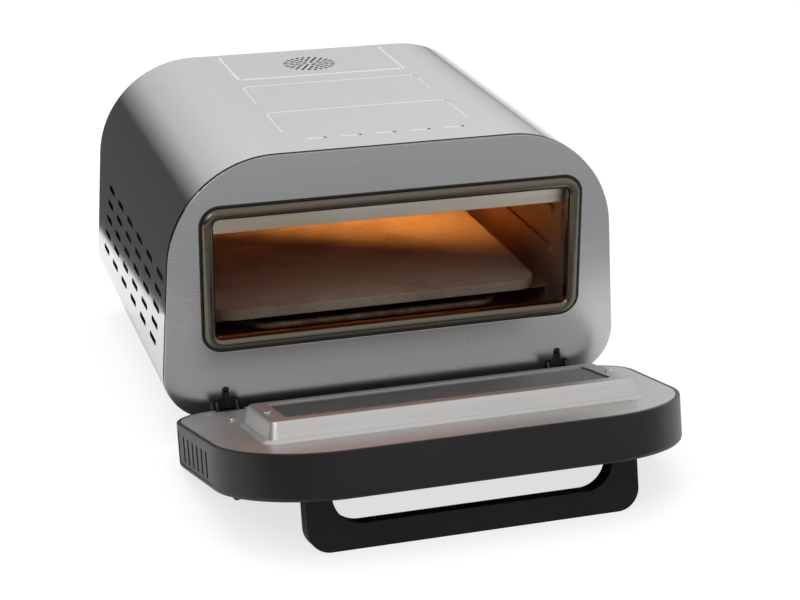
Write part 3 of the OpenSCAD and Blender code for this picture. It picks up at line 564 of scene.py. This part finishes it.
rounded("door_shell", "doorShellMoulding",
        [{"pick": innerRim, "width": doorMoulding["rimRound"], "steps": 2}])
rounded("door_inner_panel", "stampedPanel", [])
rounded("handle", "handleGrip",
        [{"pick": everywhere, "width": doorMoulding["handleRound"], "steps": 4, "sharp": 40}])
rounded("pizza_stone", "stoneSlab", [{"pick": everywhere, "width": 0.0012, "steps": 2}])
for knob in ("temperature_knob", "timer_knob"):
    rounded(knob, knob.split("_")[0] + "KnobMoulding", [{"pick": everywhere, "width": 0.0005, "steps": 2}])
for side in ("left", "right"):
    rounded("hinge_receiver_" + side, "hingeEars" + side.title(),
            [{"pick": everywhere, "width": 0.0004, "steps": 2}])

# the open door's directions: along the hinge line, up the closed door, and in towards the oven
sideways = Vector((1, 0, 0))
upward = (doorPoint(0, 0, 1) - doorPoint(0, 0, 0)).normalized()
inward = (doorPoint(0, -1, 0) - doorPoint(0, 0, 0)).normalized()

# crossed recesses in the panel screws' heads, cut with two bars each; the heads are (x, depth, height)
recess = {"long": 0.0034, "wide": 0.0008, "deep": 0.0009, "round": 0.0003}
screwHeads = [(0.156, 0.002, 0.058), (0.173, 0.002, 0.058), (0.158, 0.0196, 0.14)]


def screwsWithRecess(node, name, places):
    cutter = bmesh.new()
    turn = Matrix((sideways, upward, inward)).transposed().to_4x4()
    for place in places:
        for long, wide in ((recess["long"], recess["wide"]), (recess["wide"], recess["long"])):
            bmesh.ops.create_cube(cutter, size=1, matrix=Matrix.Translation(place) @ turn
                                  @ Matrix.Diagonal((long, wide, 2 * recess["deep"], 1)))
    bars = bpy.data.objects.new("recessBars", bpy.data.meshes.new("recessBars"))
    cutter.to_mesh(bars.data)
    cutter.free()
    scene.collection.objects.link(bars)
    piece = rounded(node, name, [{"pick": everywhere, "width": recess["round"], "steps": 2}])
    alone(piece)
    cut = piece.modifiers.new("recess", "BOOLEAN")
    cut.operation, cut.object, cut.solver, cut.use_self = "DIFFERENCE", bars, "EXACT", True
    bpy.ops.object.modifier_apply(modifier="recess")
    nothingSelected()
    bpy.data.objects.remove(bars)


screwsWithRecess("panel_screws", "panelScrews",
                 [doorPoint(side * x, -depth, s) for side in (-1, 1) for x, depth, s in screwHeads])

# raised scales round the knobs, clockwise from the top, and a pointer line in each knob's groove
dials = [
    {"knob": "temperature_knob", "x": -0.186, "step": 54, "labels": ["0", "1", "2", "3", "4", "5"]},
    {"knob": "timer_knob", "x": 0.186, "step": 50, "labels": ["0", "5", "10", "15", "20", "25", "30"]},
]
scale = {"height": 0.118, "face": 0.041, "proud": 0.00015, "inner": 0.0193, "outer": 0.0218, "wide": 0.0007,
         "labels": 0.0243, "size": 0.004, "sunk": 0.0001}
# from the door's face: the gap and height of a knob less its groove's depth, and the line in that groove
pointer = {"floor": 0.0006 + 0.015 - 0.0008, "low": 0.0035, "high": 0.0125, "wide": 0.0011, "proud": 0.0003}


def onFace(x, s, n):
    return doorPoint(x, n, scale["height"] + s)


# a small box that stands on the door's outer face, its length turned to an angle
def addBar(mesh, x, angle, low, high, wide, base, top):
    out = Vector((math.sin(angle), math.cos(angle)))
    side = Vector((out.y, -out.x))
    corners = []
    for n in (base, top):
        for r, w in ((low, -wide), (high, -wide), (high, wide), (low, wide)):
            at = out * r + side * w / 2
            corners.append(mesh.verts.new(onFace(x + at.x, at.y, n)))
    for face in ((0, 1, 2, 3), (4, 5, 6, 7), (0, 1, 5, 4), (1, 2, 6, 5), (2, 3, 7, 6), (3, 0, 4, 7)):
        mesh.faces.new([corners[i] for i in face])


def printed(mesh, name, body):
    bmesh.ops.recalc_face_normals(mesh, faces=mesh.faces)
    piece = bpy.data.objects.new(name, bpy.data.meshes.new(name))
    mesh.to_mesh(piece.data)
    mesh.free()
    scene.collection.objects.link(piece)
    piece.data.materials.append(materials["palePlastic"])
    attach(piece, body)


for dial in dials:
    mesh = bmesh.new()
    for i, label in enumerate(dial["labels"]):
        angle = math.radians(i * dial["step"])
        addBar(mesh, dial["x"], angle, scale["inner"], scale["outer"], scale["wide"],
               scale["face"] - scale["sunk"], scale["face"] + scale["proud"])
        nothingSelected()
        bpy.ops.object.text_add()
        text = bpy.context.object
        text.data.body, text.data.size = label, scale["size"]
        text.data.extrude = 0.5 * scale["proud"] + 0.00005
        text.data.align_x, text.data.align_y = "CENTER", "CENTER"
        bpy.ops.object.convert(target="MESH")
        at = Vector((math.sin(angle), math.cos(angle))) * scale["labels"]
        base = onFace(dial["x"] + at.x, at.y, scale["face"])
        turn = Matrix((sideways, upward, -inward)).transposed().to_4x4()
        text.data.transform(Matrix.Translation(base) @ turn)
        mesh.from_mesh(text.data)
        shape = text.data
        bpy.data.objects.remove(text)
        bpy.data.meshes.remove(shape)
    printed(mesh, dial["knob"].split("_")[0] + "Scale", bodyOf["door_shell"])
    mesh = bmesh.new()
    groove = scale["face"] + pointer["floor"]
    addBar(mesh, dial["x"], 0, pointer["low"], pointer["high"], pointer["wide"],
           groove - scale["sunk"], groove + pointer["proud"])
    printed(mesh, dial["knob"].split("_")[0] + "Pointer", bodyOf[dial["knob"]])
print("pieces rounded and marked")


# ---- floor, light and camera

# the floor's tone in reflections and to the camera, its glow to the camera, and how high the cards lie
ground = {"size": 14, "middle": (0, 2, 0), "tone": 0.86, "seenTone": 0.3, "seenGlow": 0.72, "cards": 0.0008}
# the sky's strength, and how much its tone changes from left to right
studio = {"strength": 0.9, "lean": 0.3}

nothingSelected()
bpy.ops.mesh.primitive_plane_add(size=ground["size"], location=ground["middle"])
floor = bpy.context.object
floor.name = "floor"
floorPaint = bpy.data.materials.new("floorPaint")
floorPaint.use_nodes = True
f = Finish(floorPaint.node_tree)
seen = f.add("ShaderNodeLightPath", output="Is Camera Ray")
tones = f.blend(seen, (ground["tone"],) * 3, (ground["seenTone"],) * 3)
matt = f.add("ShaderNodeBsdfDiffuse", inputs={"Color": tones})
glow = f.add("ShaderNodeEmission", inputs={"Color": (1, 1, 1), "Strength": seen * ground["seenGlow"]})
both = f.add("ShaderNodeAddShader", inputs={0: matt, 1: glow})
f.add("ShaderNodeOutputMaterial", inputs={"Surface": both})
floor.data.materials.append(floorPaint)

# cards that only the steel's reflections see, as a studio sets them: dark behind on the left, grey in front
cards = [
    {"name": "darkCard", "grey": 0.085,
     "corners": [(-0.2968, 0.3), (-0.2618, 0.75), (-0.2618, 12), (-8, 12), (-8, 0.3)]},
    {"name": "greyCard", "grey": 0.42, "corners": [(-1.2, -0.345), (1.6, -0.345), (1.6, -1.3), (-1.2, -1.3)]},
]
for card in cards:
    mesh = bmesh.new()
    mesh.faces.new([mesh.verts.new((x, y, ground["cards"])) for x, y in card["corners"]])
    made = bpy.data.objects.new(card["name"], bpy.data.meshes.new(card["name"]))
    mesh.to_mesh(made.data)
    mesh.free()
    scene.collection.objects.link(made)
    made.visible_camera = made.visible_diffuse = made.visible_transmission = made.visible_shadow = False
    paper = bpy.data.materials.new(card["name"])
    paper.use_nodes = True
    f = Finish(paper.node_tree)
    f.add("ShaderNodeOutputMaterial", inputs={
        "Surface": f.add("ShaderNodeEmission", inputs={"Color": (1, 1, 1), "Strength": card["grey"]})})
    made.data.materials.append(paper)

world = bpy.data.worlds.new("studio")
scene.world = world
world.use_nodes = True
w = Finish(world.node_tree)
aim = w.add("ShaderNodeTexCoord", output="Generated")
height = w.add("ShaderNodeSeparateXYZ", inputs={"Vector": aim}, output="Z")
across = w.add("ShaderNodeSeparateXYZ", inputs={"Vector": aim}, output="X")
sky = w.add("ShaderNodeValToRGB", {"stops": [
    (0.0, (0.09, 0.09, 0.09)), (0.09, (0.34, 0.34, 0.345)), (0.2, (0.70, 0.70, 0.71)),
    (0.4, (0.96, 0.96, 0.96)), (1.0, (1.0, 1.0, 1.0))]}, {0: height + across * studio["lean"]})
seen = w.add("ShaderNodeLightPath", output="Is Camera Ray")
shown = w.add("ShaderNodeBackground", inputs={"Color": (1, 1, 1), "Strength": 1.0})
lighting = w.add("ShaderNodeBackground", inputs={"Color": sky, "Strength": studio["strength"]})
w.add("ShaderNodeOutputWorld", inputs={
    "Surface": w.add("ShaderNodeMixShader", inputs={0: seen, 1: lighting, 2: shown})})

lamps = [
    {"name": "overhead", "size": 2.4, "power": 26, "place": (0.1, 0.3, 2.1), "aim": (0, 0, 0.1),
     "tint": (1, 1, 1)},
    {"name": "keySide", "size": 1.0, "power": 9, "place": (-1.5, -1.3, 1.7), "aim": (0, -0.1, 0.1),
     "tint": (1, 0.99, 0.97)},
    {"name": "ovenGlow", "size": 0.26, "deep": 0.03, "power": 0.8, "place": (0.03, 0.2, 0.209),
     "aim": (0.08, 0.3, 0.13), "tint": (1.0, 0.40, 0.09)},
]
for lamp in lamps:
    data = bpy.data.lights.new(lamp["name"], "AREA")
    data.shape = "RECTANGLE"
    data.size, data.size_y = lamp["size"], lamp.get("deep", lamp["size"])
    data.energy, data.color = lamp["power"], lamp["tint"]
    made = bpy.data.objects.new(lamp["name"], data)
    scene.collection.objects.link(made)
    made.visible_glossy = lamp["name"] == "keySide"
    made.location = lamp["place"]
    made.rotation_euler = (Vector(lamp["aim"]) - Vector(lamp["place"])).to_track_quat("-Z", "Y").to_euler()

# the photograph's view: place and turn of the camera, in the row frame
view = {"place": (-0.51686, -1.71672, 0.79436), "yaw": -0.3056, "pitch": 0.3685, "roll": 0.0059,
        "lens": 89.453, "shiftX": -0.0029, "shiftY": -0.0008}
ahead = Vector((-math.sin(view["yaw"]) * math.cos(view["pitch"]),
                math.cos(view["yaw"]) * math.cos(view["pitch"]), -math.sin(view["pitch"])))
right = Vector((math.cos(view["yaw"]), math.sin(view["yaw"]), 0))
up = right.cross(ahead)
rolledRight = math.cos(view["roll"]) * right + math.sin(view["roll"]) * up
rolledUp = -math.sin(view["roll"]) * right + math.cos(view["roll"]) * up
cameraData = bpy.data.cameras.new("photoView")
cameraData.lens, cameraData.sensor_width = view["lens"], 36
cameraData.shift_x, cameraData.shift_y = view["shiftX"], view["shiftY"]
camera = bpy.data.objects.new("photoView", cameraData)
scene.collection.objects.link(camera)
turned = Matrix((rolledRight, rolledUp, -ahead)).transposed().to_4x4()
camera.matrix_world = Matrix.Translation(view["place"]) @ turned
scene.camera = camera
scene.view_settings.view_transform = "Standard"
print("stage set")
